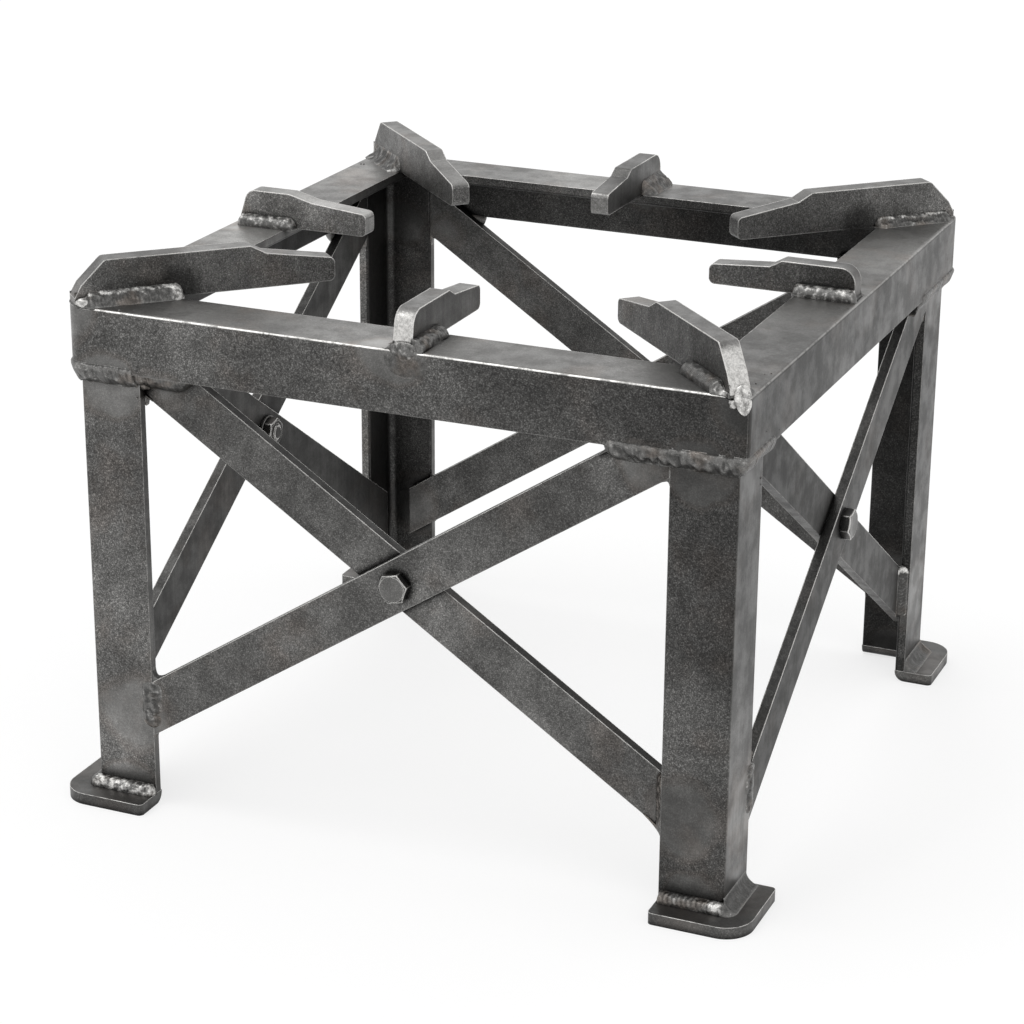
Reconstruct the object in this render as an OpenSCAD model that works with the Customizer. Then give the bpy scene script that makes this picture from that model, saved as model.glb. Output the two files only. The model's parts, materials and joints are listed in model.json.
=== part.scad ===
// Propane burner stand: square angle-iron ring on four angle-iron legs, flat-bar cross braces
// bolted at every crossing, eight pot support bars welded on the ring.
// Frame: origin on the floor under the middle, X right along the front, Y to the back, Z up. mm.

/* [Overall] */
// Ring width across the front, outside to outside
stand_w = 406.4; // [300:0.1:600]
// Ring depth from front to back, outside to outside
stand_d = 406.4; // [300:0.1:600]
// Height of the ring's top face above the floor
stand_h = 304.8; // [220:0.1:500]

/* [Angle and flat stock] */
// Thickness of the angle iron and of the brace bars
stock_t = 6.35; // [4:0.05:10]
// Width of each leg flange
leg_flange = 38.1; // [30:0.1:60]
// Width of the ring's flat top flange
rail_top_w = 38.1; // [30:0.1:60]
// Height of the ring's vertical flange
rail_drop = 36; // [30:0.1:60]
// Width of the brace bars
brace_w = 28.4; // [18:0.1:40]
// Radius of the fillet inside the angle iron
root_r = 5; // [2:0.5:8]
// Radius of the angle iron's outer edge
heel_r = 2; // [0.5:0.5:4]
// Radius on the tips of the angle iron's flanges
toe_r = 1.5; // [0.5:0.5:3]

/* [Braces] */
// Height of a brace's middle line where its low end meets the leg
brace_low = 62; // [50:0.5:90]
// Drop from the ring's top to a brace's middle line at its high end
brace_high_drop = 34.5; // [30:0.5:60]
// How far an inner brace laps past the edge of the leg flange
brace_lap = 14; // [8:0.5:20]

/* [Feet] */
// How far a foot's lip stands out past the leg's outer faces
foot_out = 18; // [8:0.5:30]
// Thickness of a foot
foot_t = 7; // [4:0.5:12]
// Radius of a foot's outer corner
foot_corner_r = 17; // [4:0.5:20]
// Radius at the ends of a foot's lip
foot_small_r = 3; // [1:0.5:6]

/* [Pot support bars] */
// Thickness of every pot support bar
bar_t = 11.5; // [8:0.1:16]
// Height of a corner bar above the ring
corner_bar_h = 25.2; // [18:0.1:35]
// Height of a mid-side bar above the ring
side_bar_h = 21.2; // [16:0.1:30]
// Drop of the step on a corner bar
corner_step = 5; // [2:0.1:8]
// Drop of the step on a mid-side bar
side_step = 4; // [2:0.1:8]
// Height of every bar at its inner tip
bar_tip_h = 13.7; // [9:0.1:16]
// Distance from the ring's corner point to a corner bar's outer end
corner_bar_start = 5.9; // [5:0.1:9]
// Length of a corner bar
corner_bar_len = 153; // [120:0.5:180]
// Length cut off the front right corner bar
short_bar_trim = 11; // [0:0.5:20]
// Distance from the ring's outer face to a mid-side bar's outer end
side_bar_start = 3.7; // [3.5:0.1:8]
// Length of a mid-side bar
side_bar_len = 87.5; // [70:0.5:110]
// Distance from the tip to the top of the step on a corner bar
corner_step_at = 50; // [40:0.5:70]
// Distance from the tip to the top of the step on a mid-side bar
side_step_at = 41; // [30:0.5:60]

/* [Crossing bolts] */
// Diameter of the bolt's shank
bolt_d = 10; // [6:0.1:12]
// Size of the bolt head and nut across their flats
hex_af = 16; // [13:0.1:19]
// Height of the bolt head
head_h = 6.2; // [4:0.1:7]
// Height of the nut
nut_h = 5.5; // [4:0.1:10]
// Outer diameter of the washer
washer_od = 20; // [17:0.1:24]
// Thickness of the washer
washer_t = 2; // [1:0.1:3]
// Length of bolt past the nut
bolt_tail = 1; // [0.8:0.1:6]

/* [Weld beads] */
// Size of the bead around a leg's foot
foot_bead = 5.6; // [3:0.1:9]
// Size of the bead under the ring around a leg
rail_bead = 6; // [3:0.5:6]
// Size of the beads beside a pot support bar
bar_bead = 6.5; // [3:0.5:8]
// Width of the bead over the butt joint of an outer brace
butt_bead_w = 9; // [5:0.5:12]
// Height of the bead over the butt joint of an outer brace
butt_bead_h = 2.2; // [1:0.1:4]
// Size of the corner bead at the low end of an inner brace
brace_bead = 5; // [3:0.5:6]

/* [Hidden] */
// Differences between the four hand-made corners: front left, front right, back right, back left.
// Radius of the ring's upright corner
ring_corner_r = [12, 4, 10, 8];
// Sideways set of the corner bar, inset of its outer end, and further inset of that end's top
corner_bar_set = [-1, 3, 2, 0];
corner_end_in = [0, 0, 3, 0];
corner_top_in = [3, 0, 2.5, 0];
// Differences between the four sides: front, right, back, left.
// Braces laid the other way round, so that the outer one rises to the left seen from outside
brace_flip = [0, 0, 0, 1];
// Heights of the outer and the inner brace above the plain layout, at the low and at the high end
brace_low_set = [[0, 0], [0, 0], [0, 0.5], [7.3, 0]];
brace_high_set = [[0, 0], [0, 0], [1, -2], [3.6, 4.6]];
// Sideways set of the mid-side bar, its extra length, and how much lower its top and its tip are
side_bar_set = [7, -5, 2.5, -3];
side_bar_more = [0, 0, 6, 0];
side_bar_low = [0, 3, 0, 0];
side_tip_low = [0, 2, 0, 0];
// How far its outer end's foot comes out and its top leans in
side_foot_out = [2, 0, 0, 0];
side_top_in = [1.5, 0, 0, 6.5];
// Extra length of its low tip, and of the slope of its step
side_step_more = [0, 2.5, 0, 3];
side_run_more = [0, 0, 0, 8];
// Clearance of the bolt in the brace holes, of the nut's and washer's bores, on the radius
brace_hole_gap = 0.35;
nut_gap = 0.05;
washer_gap = 0.25;
// Height of the flat face left above the rounded lower inner edge of a foot
foot_flat = 0.5;
// Shape of the bars' rounded corners; a mid-side bar's outer end is straight below its round top
bar_end_foot = 0.2;
bar_top_r = 4;
bar_tip_r = 3.5;
bar_step_r = 3;
bar_swell = 0.001;
step_run = 9;
side_step_run = 7;
end_rise = [4.5, 11.5];
end_run = [4, 15];
// Bevels on the bolt head, the nut and the bolt's end
hex_bevel = 1.1;
tail_bevel = 0.8;
// Turn of a bolt head about its own axis
hex_turn = -12;
// Beads beside a corner bar: start behind its outer end, and stop short of the ring's inner edge
side_bead_from = 3;
side_bead_stop = 0.7;
// Beads over the outer ends of the bars; a mid-side bar's stops short of the ring's outer face
end_bead_half = 5;
end_bead = 4;
side_end_gap = 0.7;
// Heights by which the filler bead reaches up behind the ring and down below it
fill_up = 4;
fill_down = 5;
// Room between a trimmed brace end and the ring's top flange
trim_gap = 1;
// Length by which cutting shapes run past what they cut
cut = 1;
$fn = 96;

ring_under = stand_h - stock_t;
rail_bottom = stand_h - rail_drop;
leg_len = ring_under - foot_t;
leg_in = stock_t + leg_flange;
diag = sqrt(2);

function half(k) = (k % 2 == 0 ? stand_d : stand_w) / 2;
function span(k) = k % 2 == 0 ? stand_w : stand_d;
function seam(k) = span(k) / 2 - leg_in;
side_bead_end = rail_top_w * diag + bar_t / 2 - side_bead_stop - corner_bar_start;

// Middle line of the brace of layer n on side k, n = 1 outer and 2 inner: heights at its low and
// high end and halfway, rise per length, and half the bar's width measured upright
function low_z(k, n) = brace_low + brace_low_set[k][n - 1];
function high_z(k, n) = stand_h - brace_high_drop + brace_high_set[k][n - 1];
function mid_z(k, n) = (low_z(k, n) + high_z(k, n)) / 2;
function slope(k, n) = (high_z(k, n) - low_z(k, n)) / (2 * seam(k));
function brace_half(k, n) = brace_w / 2 * sqrt(1 + slope(k, n) * slope(k, n));

// Point where the two middle lines of side k cross
function cross_x(k) = (mid_z(k, 2) - mid_z(k, 1)) / (slope(k, 1) + slope(k, 2));
function cross_z(k) = mid_z(k, 1) + cross_x(k) * slope(k, 1);

// Frame of side k, counted front, right, back, left: origin on the floor under the middle of the
// ring's outer face, x to the right seen from outside, y inward
module at_side(k) rotate([0, 0, 90 * k]) translate([0, -half(k), 0]) children();

// The same frame for the braces of side k, mirrored where they are laid the other way round
module at_braces(k) at_side(k) mirror([brace_flip[k], 0, 0]) children();

// Frame of the corner at the left end of side k: origin on the floor under the ring's corner point
module at_corner(k) at_side(k) translate([-span(k) / 2, 0, 0]) children();

// Frame along the inward diagonal of corner k: x inward from the corner point
module at_diagonal(k) at_corner(k) rotate([0, 0, 45]) children();

// Stands a flat shape up: its x stays x, its y becomes z, its thickness t runs along y from y0
module upright(y0, t) translate([0, y0 + t, 0]) rotate([90, 0, 0]) linear_extrude(t) children();

function unit(v) = v / norm(v);
function turn_tan(a, b, c) = let (u = unit(a - b), v = unit(c - b)) sqrt((1 - u * v) / (1 + u * v));
function tangent(a, b, c, r) = b + unit(a - b) * r / turn_tan(a, b, c);
function corner_mid(a, b, c, r) = let (u = unit(a - b), v = unit(c - b))
    b + unit(u + v) * r / sqrt((1 - u * v) / 2);

// Flat shape with its outward corners rounded: each radius belongs to the point of its number.
// The rounding stands out by swell, so that it crosses slanted edges cleanly
module rounded_shape(pts, radii, swell = 0) {
    n = len(pts);
    polygon([for (i = [0 : n - 1])
        let (a = pts[(i + n - 1) % n], b = pts[i], c = pts[(i + 1) % n])
        each (radii[i] > 0 ? [tangent(a, b, c, radii[i]), tangent(c, b, a, radii[i])] : [b])]);
    for (i = [0 : n - 1]) if (radii[i] > 0)
        translate(corner_mid(pts[(i + n - 1) % n], pts[i], pts[(i + 1) % n], radii[i]))
            circle(radii[i] + swell);
}

// Section of an angle iron: heel at the origin, flanges along x and y
module angle_section(w, h) {
    rounded_shape([[0, 0], [w, 0], [w, stock_t], [stock_t, stock_t], [stock_t, h], [0, h]],
                  [heel_r, 0, toe_r, 0, toe_r, 0]);
    difference() {
        translate([stock_t, stock_t]) square(root_r);
        translate([stock_t + root_r, stock_t + root_r]) circle(root_r);
    }
}

// Quarter of a round bar lying in the corner of two faces
module quarter(r) intersection() { circle(r); square(r); }

module rail(k) at_side(k) difference() {
    intersection() {
        rotate([90, 0, 90]) linear_extrude(span(k), center = true)
            translate([0, stand_h]) mirror([0, 1]) angle_section(rail_top_w, rail_drop);
        linear_extrude(stand_h + cut) polygon([
            [-span(k) / 2, 0], [span(k) / 2, 0],
            [span(k) / 2 - rail_top_w - cut, rail_top_w + cut],
            [-span(k) / 2 + rail_top_w + cut, rail_top_w + cut]]);
    }
    for (s = [0, 1]) mirror([s, 0, 0]) translate([-span(k) / 2, 0, 0])
        corner_cut(ring_corner_r[(k + s) % 4]);
}

// What the ring's upright corner leaves out when rounded to radius r
module corner_cut(r) translate([0, 0, rail_bottom - cut]) linear_extrude(rail_drop + 2 * cut)
    difference() {
        translate([-cut, -cut]) square(r + cut);
        translate([r, r]) circle(r);
    }

module leg(k) at_corner(k) translate([stock_t, stock_t, foot_t]) difference() {
    linear_extrude(leg_len) angle_section(leg_flange, leg_flange);
    translate([0, 0, leg_len]) {
        rotate([45, 0, 0]) cube([2 * leg_in, root_r * diag, root_r * diag], center = true);
        rotate([0, 45, 0]) cube([root_r * diag, 2 * leg_in, root_r * diag], center = true);
    }
}

// Foot: a lip around the leg's two outer faces that ends flush with the edges of its flanges
module foot(k) at_corner(k) translate([stock_t, stock_t, 0]) intersection() {
    linear_extrude(foot_t) rounded_shape(
        [[-foot_out, -foot_out], [leg_flange, -foot_out], [leg_flange, stock_t],
         [stock_t, stock_t], [stock_t, leg_flange], [-foot_out, leg_flange]],
        [foot_corner_r, foot_small_r, 0, 0, 0, foot_small_r]);
    union() {
        foot_arm();
        mirror([1, -1, 0]) foot_arm();
    }
}

// One arm of a foot, along x, rounded where its underside meets its inner face
module foot_arm() {
    width = foot_out + stock_t;
    translate([-foot_out, -foot_out, 0]) rotate([90, 0, 90]) linear_extrude(foot_out + leg_flange)
        rounded_shape([[0, 0], [width, 0], [width, foot_t], [0, foot_t]],
                      [0, foot_t - foot_flat, 0, 0]);
}

module brace_hole(k) translate([cross_x(k), stock_t - cut, cross_z(k)]) rotate([-90, 0, 0])
    cylinder(h = 2 * stock_t + 2 * cut, r = bolt_d / 2 + brace_hole_gap);

// Brace bar of layer n on side k, reaching w to both sides: the outer one rises with x
module brace_bar(k, n, w) at_braces(k) difference() {
    rise = (n == 1 ? w : -w) * slope(k, n);
    up = brace_half(k, n);
    upright(n * stock_t, stock_t) intersection() {
        translate([0, mid_z(k, n)])
            polygon([[-w, -rise - up], [w, rise - up], [w, rise + up], [-w, -rise + up]]);
        translate([-w, foot_t]) square([2 * w, brace_top(n) - foot_t]);
    }
    brace_hole(k);
}

// Greatest height of a brace bar of layer n: clear of the fillet inside the ring, or of its flange
function brace_top(n) = ring_under - (n == 1 ? root_r : trim_gap);

module brace_outer(k) brace_bar(k, 1, seam(k));

module brace_inner(k) brace_bar(k, 2, seam(k) + brace_lap);

// Bar standing on the ring: outline in length and height, set across the bar's middle plane
module bar_body(pts, radii) translate([0, 0, stand_h]) upright(-bar_t / 2, bar_t)
    rounded_shape(pts, radii, bar_swell);

module corner_bar(k) at_diagonal(k)
    translate([corner_bar_start, corner_bar_set[k], 0]) {
        reach = corner_bar_len - (k == 1 ? short_bar_trim : 0);
        from = corner_end_in[k];
        bar_body([[from, 0], [reach, 0], [reach, bar_tip_h],
                  [reach - corner_step_at + step_run, corner_bar_h - corner_step],
                  [reach - corner_step_at, corner_bar_h],
                  [from + corner_top_in[k] + end_run[1], corner_bar_h],
                  [from + end_run[0], end_rise[1]], [from, end_rise[0]]],
                 [0, bar_tip_r, bar_tip_r, 0, bar_step_r, bar_top_r, 0, 0]);
    }

module side_bar(k) at_side(k) translate([side_bar_set[k], side_bar_start, 0]) rotate([0, 0, 90]) {
    high = side_bar_h - side_bar_low[k];
    reach = side_bar_len + side_bar_more[k];
    step = reach - side_step_at - side_step_more[k] - side_run_more[k];
    bar_body([[-side_foot_out[k], 0], [reach, 0], [reach, bar_tip_h - side_tip_low[k]],
              [step + side_step_run + side_run_more[k], high - side_step],
              [step, high], [side_top_in[k], high]],
             [0, bar_tip_r, bar_tip_r, 0, bar_step_r, (high - bar_end_foot - side_top_in[k]) / 2]);
}

// Hexagon with the corners of one face bevelled
module hex_body(h) intersection() {
    cylinder(h = h, r = hex_af / 2 / cos(30), $fn = 6);
    union() {
        cylinder(h = h - hex_bevel, r = hex_af);
        translate([0, 0, h - hex_bevel])
            cylinder(h = hex_bevel, r1 = hex_af / 2 + 2 * hex_bevel, r2 = hex_af / 2 - hex_bevel / 2);
    }
}

// Places a fastener on side k: its z runs inward from the outer brace's outer face plus y0
module on_bolt(k, y0) at_braces(k) translate([cross_x(k), stock_t + y0, cross_z(k)])
    rotate([-90, hex_turn, 0]) children();

module bolts() for (k = [0 : 3]) on_bolt(k, 0) {
    grip = 2 * stock_t + washer_t + nut_h + bolt_tail;
    mirror([0, 0, 1]) hex_body(head_h);
    cylinder(h = grip - tail_bevel, r = bolt_d / 2);
    translate([0, 0, grip - tail_bevel])
        cylinder(h = tail_bevel, r1 = bolt_d / 2, r2 = bolt_d / 2 - tail_bevel);
}

module washers() for (k = [0 : 3]) on_bolt(k, 2 * stock_t) difference() {
    cylinder(h = washer_t, r = washer_od / 2);
    translate([0, 0, -cut]) cylinder(h = washer_t + 2 * cut, r = bolt_d / 2 + washer_gap);
}

module nuts() for (k = [0 : 3]) on_bolt(k, 2 * stock_t + washer_t) difference() {
    hex_body(nut_h);
    translate([0, 0, -cut]) cylinder(h = nut_h + 2 * cut, r = bolt_d / 2 + nut_gap);
}

// Bead around a leg's outer faces, rising from z = 0, with extra length along each face
module leg_bead(r, more_x, more_y) {
    rotate([90, 0, 90]) linear_extrude(leg_flange + more_x) mirror([1, 0]) quarter(r);
    rotate([90, 0, 180]) linear_extrude(leg_flange + more_y) quarter(r);
    intersection() {
        sphere(r);
        translate([-r, -r, 0]) cube([r, r, r]);
    }
}

module foot_weld(k) at_corner(k) translate([stock_t, stock_t, foot_t]) leg_bead(foot_bead, 0, 0);

// Length past the leg by which the bead under the ring runs on over the outer brace of side k
function over_brace(k) =
    seam(k) - (rail_bottom - rail_bead - mid_z(k, 1) - brace_half(k, 1)) / slope(k, 1);

module ring_weld(k) intersection() {
    before = (k + 3) % 4;
    at_corner(k) translate([stock_t, stock_t, rail_bottom]) mirror([0, 0, 1])
        leg_bead(rail_bead, brace_flip[k] * over_brace(k),
                 (1 - brace_flip[before]) * over_brace(before));
    within_ring(k, rail_bottom - rail_bead - cut, rail_bottom + cut);
}

// All that lies within the ring's outline, seen from above near corner k, between two heights
module within_ring(k, z0, z1) at_corner(k) translate([0, 0, z0]) linear_extrude(z1 - z0) {
    r = ring_corner_r[k];
    translate([r, 0]) square(span(k) / 2);
    translate([0, r]) square(span(k) / 2);
    translate([r, r]) circle(r);
}

module corner_bar_weld(k) intersection() {
    at_diagonal(k) translate([corner_bar_start, corner_bar_set[k], stand_h]) {
        from = corner_end_in[k];
        for (s = [0, 1]) mirror([0, s, 0]) translate([from + side_bead_from, bar_t / 2, 0])
            rotate([90, 0, 90]) linear_extrude(side_bead_end - side_bead_from - from)
                quarter(bar_bead);
        translate([from, -end_bead_half, 0]) rotate([90, 0, 180])
            linear_extrude(2 * end_bead_half) quarter(end_bead);
    }
    within_ring(k, stand_h, stand_h + bar_bead + cut);
}

module side_bar_weld(k) at_side(k)
    translate([side_bar_set[k], side_bar_start - side_foot_out[k], stand_h]) {
        for (s = [0, 1]) mirror([s, 0, 0]) translate([bar_t / 2, 0, 0]) rotate([90, 0, 180])
            linear_extrude(rail_top_w - side_bar_start + side_foot_out[k]) mirror([1, 0])
                quarter(bar_bead);
        rotate([90, 0, 90]) linear_extrude(bar_t + 2 * bar_bead, center = true) mirror([1, 0])
            quarter(side_bar_start - side_foot_out[k] - side_end_gap);
    }

// Low rounded cap over the joint of two flush faces
module cap_section(w, h) {
    r = (w * w / 4 + h * h) / (2 * h);
    intersection() {
        translate([0, r - h]) circle(r);
        translate([-w, -h]) square([2 * w, h]);
    }
}

module butt_welds() for (k = [0 : 3]) at_braces(k)
    translate([-seam(k), stock_t, low_z(k, 1) - brace_half(k, 1)])
        linear_extrude(2 * brace_half(k, 1)) cap_section(butt_bead_w, butt_bead_h);

module corner_welds() for (k = [0 : 3]) at_braces(k) {
    rise = brace_bead * slope(k, 2);
    translate([seam(k), 2 * stock_t, low_z(k, 2) - brace_half(k, 2) + rise])
        linear_extrude(2 * brace_half(k, 2) - rise)
            mirror([1, 0]) mirror([0, 1]) quarter(brace_bead);
}

module fill_welds() for (k = [0 : 3]) at_braces(k) {
    below = rail_bottom - fill_down - mid_z(k, 2) - brace_half(k, 2);
    translate([-seam(k), stock_t, rail_bottom - fill_down])
        cube([seam(k) - below / slope(k, 2), stock_t, fill_down + fill_up]);
}

module rail_front() color([0.27, 0.27, 0.26]) rail(0);
module rail_right() color([0.27, 0.27, 0.26]) rail(1);
module rail_back() color([0.27, 0.27, 0.26]) rail(2);
module rail_left() color([0.27, 0.27, 0.26]) rail(3);
module leg_front_left() color([0.25, 0.25, 0.24]) leg(0);
module leg_front_right() color([0.25, 0.25, 0.24]) leg(1);
module leg_back_right() color([0.25, 0.25, 0.24]) leg(2);
module leg_back_left() color([0.25, 0.25, 0.24]) leg(3);
module foot_front_left() color([0.22, 0.22, 0.21]) foot(0);
module foot_front_right() color([0.22, 0.22, 0.21]) foot(1);
module foot_back_right() color([0.22, 0.22, 0.21]) foot(2);
module foot_back_left() color([0.22, 0.22, 0.21]) foot(3);
module brace_front_outer() color([0.24, 0.24, 0.23]) brace_outer(0);
module brace_right_outer() color([0.24, 0.24, 0.23]) brace_outer(1);
module brace_back_outer() color([0.24, 0.24, 0.23]) brace_outer(2);
module brace_left_outer() color([0.24, 0.24, 0.23]) brace_outer(3);
module brace_front_inner() color([0.22, 0.22, 0.22]) brace_inner(0);
module brace_right_inner() color([0.22, 0.22, 0.22]) brace_inner(1);
module brace_back_inner() color([0.22, 0.22, 0.22]) brace_inner(2);
module brace_left_inner() color([0.22, 0.22, 0.22]) brace_inner(3);
module pot_bar_front_left() color([0.3, 0.29, 0.28]) corner_bar(0);
module pot_bar_front_right() color([0.3, 0.29, 0.28]) corner_bar(1);
module pot_bar_back_right() color([0.3, 0.29, 0.28]) corner_bar(2);
module pot_bar_back_left() color([0.3, 0.29, 0.28]) corner_bar(3);
module pot_bar_front() color([0.3, 0.29, 0.28]) side_bar(0);
module pot_bar_right() color([0.3, 0.29, 0.28]) side_bar(1);
module pot_bar_back() color([0.3, 0.29, 0.28]) side_bar(2);
module pot_bar_left() color([0.3, 0.29, 0.28]) side_bar(3);
module brace_bolts() color([0.2, 0.2, 0.21]) bolts();
module brace_washers() color([0.35, 0.35, 0.36]) washers();
module brace_nuts() color([0.2, 0.2, 0.21]) nuts();
module weld_foot_front_left() color([0.5, 0.5, 0.49]) foot_weld(0);
module weld_foot_front_right() color([0.5, 0.5, 0.49]) foot_weld(1);
module weld_foot_back_right() color([0.5, 0.5, 0.49]) foot_weld(2);
module weld_foot_back_left() color([0.5, 0.5, 0.49]) foot_weld(3);
module weld_ring_front_left() color([0.5, 0.5, 0.49]) ring_weld(0);
module weld_ring_front_right() color([0.5, 0.5, 0.49]) ring_weld(1);
module weld_ring_back_right() color([0.5, 0.5, 0.49]) ring_weld(2);
module weld_ring_back_left() color([0.5, 0.5, 0.49]) ring_weld(3);
module weld_bar_front_left() color([0.55, 0.55, 0.54]) corner_bar_weld(0);
module weld_bar_front_right() color([0.55, 0.55, 0.54]) corner_bar_weld(1);
module weld_bar_back_right() color([0.55, 0.55, 0.54]) corner_bar_weld(2);
module weld_bar_back_left() color([0.55, 0.55, 0.54]) corner_bar_weld(3);
module weld_bar_front() color([0.55, 0.55, 0.54]) side_bar_weld(0);
module weld_bar_right() color([0.55, 0.55, 0.54]) side_bar_weld(1);
module weld_bar_back() color([0.55, 0.55, 0.54]) side_bar_weld(2);
module weld_bar_left() color([0.55, 0.55, 0.54]) side_bar_weld(3);
module weld_brace_butt() color([0.45, 0.45, 0.44]) butt_welds();
module weld_brace_corner() color([0.45, 0.45, 0.44]) corner_welds();
module weld_brace_fill() color([0.45, 0.45, 0.44]) fill_welds();

rail_front();
rail_right();
rail_back();
rail_left();
leg_front_left();
leg_front_right();
leg_back_right();
leg_back_left();
foot_front_left();
foot_front_right();
foot_back_right();
foot_back_left();
brace_front_outer();
brace_right_outer();
brace_back_outer();
brace_left_outer();
brace_front_inner();
brace_right_inner();
brace_back_inner();
brace_left_inner();
pot_bar_front_left();
pot_bar_front_right();
pot_bar_back_right();
pot_bar_back_left();
pot_bar_front();
pot_bar_right();
pot_bar_back();
pot_bar_left();
brace_bolts();
brace_washers();
brace_nuts();
weld_foot_front_left();
weld_foot_front_right();
weld_foot_back_right();
weld_foot_back_left();
weld_ring_front_left();
weld_ring_front_right();
weld_ring_back_right();
weld_ring_back_left();
weld_bar_front_left();
weld_bar_front_right();
weld_bar_back_right();
weld_bar_back_left();
weld_bar_front();
weld_bar_right();
weld_bar_back();
weld_bar_left();
weld_brace_butt();
weld_brace_corner();
weld_brace_fill();
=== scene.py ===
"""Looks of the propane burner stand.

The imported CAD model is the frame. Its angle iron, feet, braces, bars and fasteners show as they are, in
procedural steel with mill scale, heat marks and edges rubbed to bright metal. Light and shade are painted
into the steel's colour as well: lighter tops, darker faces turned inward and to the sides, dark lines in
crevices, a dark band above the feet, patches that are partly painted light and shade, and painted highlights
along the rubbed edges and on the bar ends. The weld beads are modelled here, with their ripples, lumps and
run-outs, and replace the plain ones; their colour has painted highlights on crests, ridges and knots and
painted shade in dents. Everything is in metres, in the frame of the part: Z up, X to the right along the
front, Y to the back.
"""
import json
import math
import random
from collections import namedtuple

import bmesh
import bpy
from mathutils import Matrix, Vector, noise

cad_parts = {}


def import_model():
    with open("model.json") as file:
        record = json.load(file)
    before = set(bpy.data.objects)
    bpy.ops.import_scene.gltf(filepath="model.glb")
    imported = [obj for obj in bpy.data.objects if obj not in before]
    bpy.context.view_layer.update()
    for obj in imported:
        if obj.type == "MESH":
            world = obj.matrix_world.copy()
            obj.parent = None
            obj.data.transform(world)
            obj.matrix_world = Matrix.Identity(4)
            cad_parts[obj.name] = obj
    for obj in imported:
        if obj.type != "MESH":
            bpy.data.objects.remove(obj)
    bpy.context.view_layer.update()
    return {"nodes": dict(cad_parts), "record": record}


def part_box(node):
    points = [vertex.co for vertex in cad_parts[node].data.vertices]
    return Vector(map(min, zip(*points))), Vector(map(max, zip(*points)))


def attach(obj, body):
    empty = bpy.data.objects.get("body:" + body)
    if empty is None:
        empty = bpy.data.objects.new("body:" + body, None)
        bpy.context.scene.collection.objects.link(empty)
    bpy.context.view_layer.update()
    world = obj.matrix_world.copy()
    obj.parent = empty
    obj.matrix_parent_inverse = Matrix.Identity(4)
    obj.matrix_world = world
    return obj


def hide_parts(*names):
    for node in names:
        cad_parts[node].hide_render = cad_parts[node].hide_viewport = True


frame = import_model()

MM = 0.001
CORNERS = ("front_left", "front_right", "back_right", "back_left")
SIDES = ("front", "right", "back", "left")
UP = Vector((0, 0, 1))
DOWN = Vector((0, 0, -1))


# --- Sizes -----------------------------------------------------------------------------------------
# Read from the frame. The front side's braces give the sizes that the other sides' ones vary.

rail_low, rail_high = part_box("rail_front")
leg_low, leg_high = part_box("leg_front_left")
_, foot_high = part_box("foot_front_left")
outer_low, outer_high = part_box("brace_front_outer")
inner_low, inner_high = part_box("brace_front_inner")

HALF = -rail_low.y                          # from the middle to the ring's outer face
RING_TOP = rail_high.z
RAIL_BOTTOM = rail_low.z
RAIL_WIDTH = rail_high.y - rail_low.y
STOCK = leg_low.x + HALF                    # thickness of angle iron and braces
FLANGE = leg_high.x - leg_low.x
TOE = STOCK + FLANGE                        # from the ring's outer face to the edge of a leg's flange
FOOT_TOP = foot_high.z
SEAM = outer_high.x                         # from the middle of a side to the edge of a leg's flange
FRONT_RISE = outer_low.z - inner_low.z      # rise of the inner brace over its lap past the seam
FRONT_SLOPE = FRONT_RISE / (inner_high.x - SEAM)
FRONT_HALF = (outer_high.z - outer_low.z) / 2 - SEAM * FRONT_SLOPE
BRACE_WIDTH = 2 * FRONT_HALF / math.sqrt(1 + FRONT_SLOPE ** 2)
BRACE_LOW = outer_low.z + FRONT_HALF        # height of a brace's middle line at the seams
BRACE_HIGH = outer_high.z - FRONT_HALF

# Differences between the hand-made corners and sides, as in the part: the ring's corner radius, the corner
# bars' sideways set and inset, the outer and inner braces' heights at their low and high ends, the side laid
# the other way round, and the mid-side bars' sideways set and outer end
RING_RADIUS = (12 * MM, 4 * MM, 10 * MM, 8 * MM)
CORNER_BAR_SET = (-1 * MM, 3 * MM, 2 * MM, 0)
CORNER_BAR_FROM = (5.9 * MM, 5.9 * MM, 8.9 * MM, 5.9 * MM)
LOW_SET = ((0, 0), (0, 0), (0, 0.5 * MM), (7.3 * MM, 0))
HIGH_SET = ((0, 0), (0, 0), (1 * MM, -2 * MM), (3.6 * MM, 4.6 * MM))
FLIPPED = (False, False, False, True)
SIDE_BAR_SET = (7 * MM, -5 * MM, 2.5 * MM, -3 * MM)
SIDE_BAR_FROM = (1.7 * MM, 3.7 * MM, 3.7 * MM, 3.7 * MM)
BAR_HALF = 5.75 * MM                        # half a pot bar's thickness
OUTER, INNER = 0, 1                         # the two layers of braces


def low_z(k, layer):
    return BRACE_LOW + LOW_SET[k][layer]


def high_z(k, layer):
    return BRACE_HIGH + HIGH_SET[k][layer]


def mid_z(k, layer):
    return (low_z(k, layer) + high_z(k, layer)) / 2


def slope(k, layer):
    return (high_z(k, layer) - low_z(k, layer)) / (2 * SEAM)


def upright_half(k, layer):
    """Half a brace's width, measured upright."""
    return BRACE_WIDTH / 2 * math.sqrt(1 + slope(k, layer) ** 2)


def side(k):
    """Frame of side k, counted front, right, back, left: x right seen from outside, y inward, z up."""
    return Matrix.Rotation(k * math.pi / 2, 4, "Z") @ Matrix.Translation((0, -HALF, 0))


def braces(k):
    """The same frame for the braces, mirrored where they are laid the other way round."""
    return side(k) @ Matrix.Scale(-1 if FLIPPED[k] else 1, 4, (1, 0, 0))


def corner(k):
    """Frame of the corner at the left end of side k."""
    return side(k) @ Matrix.Translation((-HALF, 0, 0))


def diagonal(k):
    """Frame along the inward diagonal of corner k."""
    return corner(k) @ Matrix.Rotation(math.pi / 4, 4, "Z")


# --- Node graphs -----------------------------------------------------------------------------------

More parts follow.
